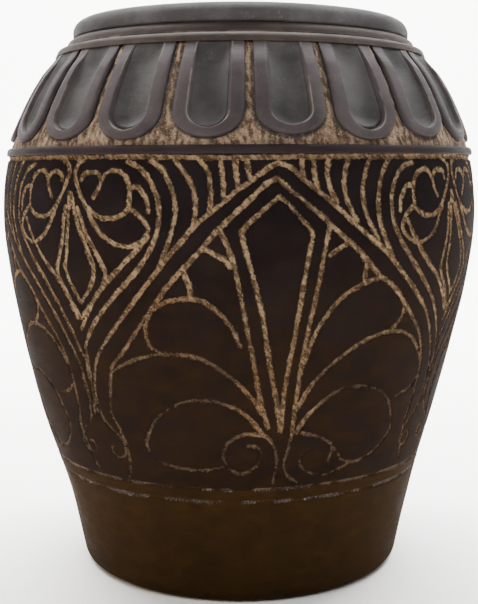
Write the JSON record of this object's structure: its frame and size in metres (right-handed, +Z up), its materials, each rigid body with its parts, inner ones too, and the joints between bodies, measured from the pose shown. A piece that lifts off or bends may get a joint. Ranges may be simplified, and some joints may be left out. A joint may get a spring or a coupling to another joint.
{
  "type": "clay pot",
  "caption": "Hand-built black clay pot with a rolled rim, fluted U-shaped tongues on the shoulder and an incised palmette frieze around the body.",
  "frame": {"origin": "centre of the flat underside, on the surface the pot stands on", "axes": "+Z up along the turning axis, from the base to the mouth; -Y to the front, where an arch of the frieze is nearly centred"},
  "size_m": [0.236, 0.236, 0.27],
  "materials": {
    "burnished_clay": "burnished black, soft sheen",
    "carved_clay": "burnished black with rough tan incised lines",
    "scraped_clay": "rough scraped tan ground",
    "bead_clay": "burnished brown-black",
    "foot_clay": "burnished dark brown-black"
  },
  "bodies": {
    "root": {"base_disc": "foot_clay", "corner_coil": "foot_clay", "foot_wall": "foot_clay", "frieze_wall": "carved_clay", "shoulder_wall": "scraped_clay", "belt_band": "burnished_clay", "neck_wall": "burnished_clay", "collar_bead_lower": "bead_clay", "collar_bead_upper": "bead_clay", "rim_lip": "burnished_clay", "shoulder_tongue_01": "burnished_clay", "shoulder_tongue_02": "burnished_clay", "shoulder_tongue_03": "burnished_clay", "shoulder_tongue_04": "burnished_clay", "shoulder_tongue_05": "burnished_clay", "shoulder_tongue_06": "burnished_clay", "shoulder_tongue_07": "burnished_clay", "shoulder_tongue_08": "burnished_clay", "shoulder_tongue_09": "burnished_clay", "shoulder_tongue_10": "burnished_clay", "shoulder_tongue_11": "burnished_clay", "shoulder_tongue_12": "burnished_clay", "shoulder_tongue_13": "burnished_clay", "shoulder_tongue_14": "burnished_clay", "shoulder_tongue_15": "burnished_clay", "shoulder_tongue_16": "burnished_clay", "shoulder_tongue_17": "burnished_clay", "shoulder_tongue_18": "burnished_clay", "shoulder_tongue_19": "burnished_clay", "shoulder_tongue_20": "burnished_clay"}
  },
  "joints": []
}
